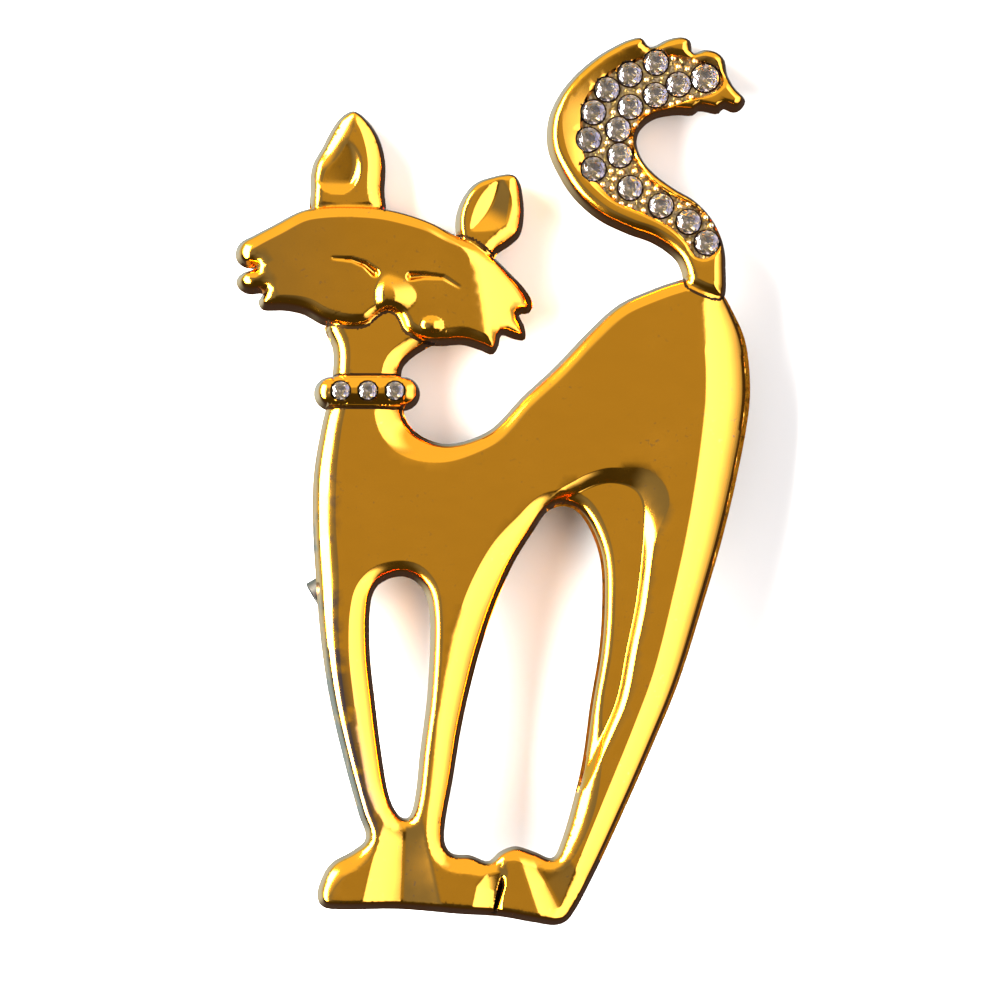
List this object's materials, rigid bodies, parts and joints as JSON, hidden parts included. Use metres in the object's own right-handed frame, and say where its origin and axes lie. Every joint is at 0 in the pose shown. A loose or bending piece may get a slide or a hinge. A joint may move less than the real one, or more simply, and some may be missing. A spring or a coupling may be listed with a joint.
{
  "type": "figural animal brooch",
  "caption": "Flat backed cast brooch of a sitting cat with a curled stone set tail, a stone set collar and a pin with a rolled catch across its back.",
  "frame": {"origin": "bottom centre of the bounding box, on the surface that the brooch lies on", "axes": "+Y towards the ears and the tail's curl, +X to the viewer's right, +Z out of the face; the brooch lies as it rests by itself, face up, on the two ends of its pin and the tip of its left ear"},
  "size_m": [0.0428, 0.074, 0.0087],
  "materials": {
    "gold_plate": "polished gold plate on cast zinc alloy",
    "crystal": "clear, foil backed and faceted",
    "pin_metal": "nickel plated"
  },
  "bodies": {
    "root": {"casting": "gold_plate", "pin_back": "pin_metal", "tail_stone_01": "crystal", "tail_stone_02": "crystal", "tail_stone_03": "crystal", "tail_stone_04": "crystal", "tail_stone_05": "crystal", "tail_stone_06": "crystal", "tail_stone_07": "crystal", "tail_stone_08": "crystal", "tail_stone_09": "crystal", "tail_stone_10": "crystal", "tail_stone_11": "crystal", "tail_stone_12": "crystal", "tail_stone_13": "crystal", "tail_stone_14": "crystal", "tail_stone_15": "crystal", "tail_stone_16": "crystal", "collar_stone_1": "crystal", "collar_stone_2": "crystal", "collar_stone_3": "crystal"}
  },
  "joints": []
}
